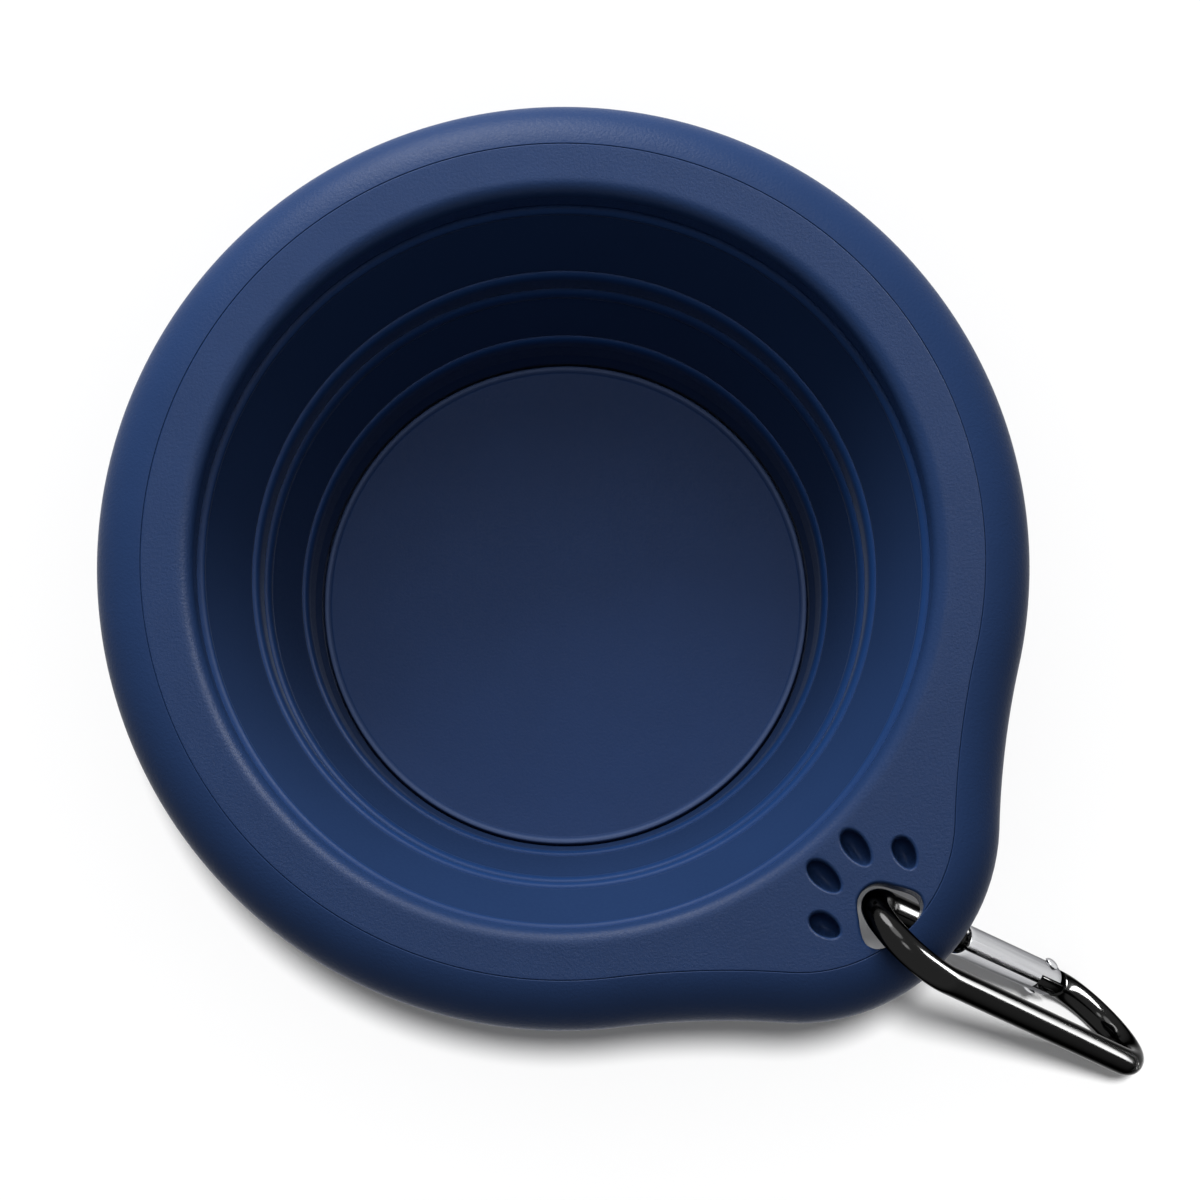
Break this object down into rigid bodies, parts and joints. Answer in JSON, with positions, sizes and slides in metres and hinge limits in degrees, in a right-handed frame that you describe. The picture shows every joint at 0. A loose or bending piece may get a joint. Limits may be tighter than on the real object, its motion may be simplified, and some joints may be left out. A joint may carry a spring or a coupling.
{
  "type": "collapsible pet bowl",
  "caption": "Travel pet bowl with a rigid rim and paw tab, a soft wall in rings that folds flat, and a rod snap clip with a sprung gate through the tab.",
  "frame": {"origin": "on the bowl's axis, on the flat underside of the base", "axes": "+Z up along the bowl's axis; the tab points to +X and -Y, 48 degrees below +X; seen from above as in the picture, +X is to the right and +Y is up"},
  "size_m": [0.1494, 0.1352, 0.0586],
  "materials": {
    "rim_plastic": "satin moulded plastic, navy",
    "rim_face_plastic": "fine grained moulded plastic, navy",
    "soft_wall": "smooth soft-touch elastomer, navy",
    "floor_plastic": "fine grained moulded plastic, navy",
    "clip_black": "gloss black anodised",
    "gate_steel": "bright plated sheet"
  },
  "bodies": {
    "rim": {"rim_frame": "rim_plastic", "rim_cover": "rim_face_plastic", "wall_collar": "soft_wall", "upper_fold": "soft_wall"},
    "middle": {"middle_ring": "soft_wall", "lower_fold": "soft_wall"},
    "base": {"base_cup": "soft_wall", "floor_disc": "floor_plastic"},
    "clip": {"clip_body": "clip_black", "catch_pin": "gate_steel", "gate_rivet": "gate_steel"},
    "gate": {"clip_gate": "gate_steel", "gate_spring": "gate_steel"}
  },
  "joints": [
    {"name": "upper_fold_collapse", "type": "slide", "parent": "rim", "child": "middle", "axis": [0, 0, 1], "range_m": [0, 0.02], "deforming": ["upper_fold"]},
    {"name": "lower_fold_collapse", "type": "slide", "parent": "middle", "child": "base", "axis": [0, 0, 1], "range_m": [0, 0.018], "deforming": ["lower_fold"]},
    {"name": "clip_swing", "type": "hinge", "parent": "rim", "child": "clip", "pos_m": [0.04858, -0.05301, 0.04939], "axis": [-0.6551, -0.6951, -0.296], "range_deg": [-18, 80]},
    {"name": "gate_open", "type": "hinge", "parent": "clip", "child": "gate", "pos_m": [0.06937, -0.05571, 0.00973], "axis": [0.6551, 0.6951, 0.296], "range_deg": [0, 28], "stiffness_Nm_per_rad": 0.04, "springref_deg": -17.19, "deforming": ["gate_spring"]}
  ]
}
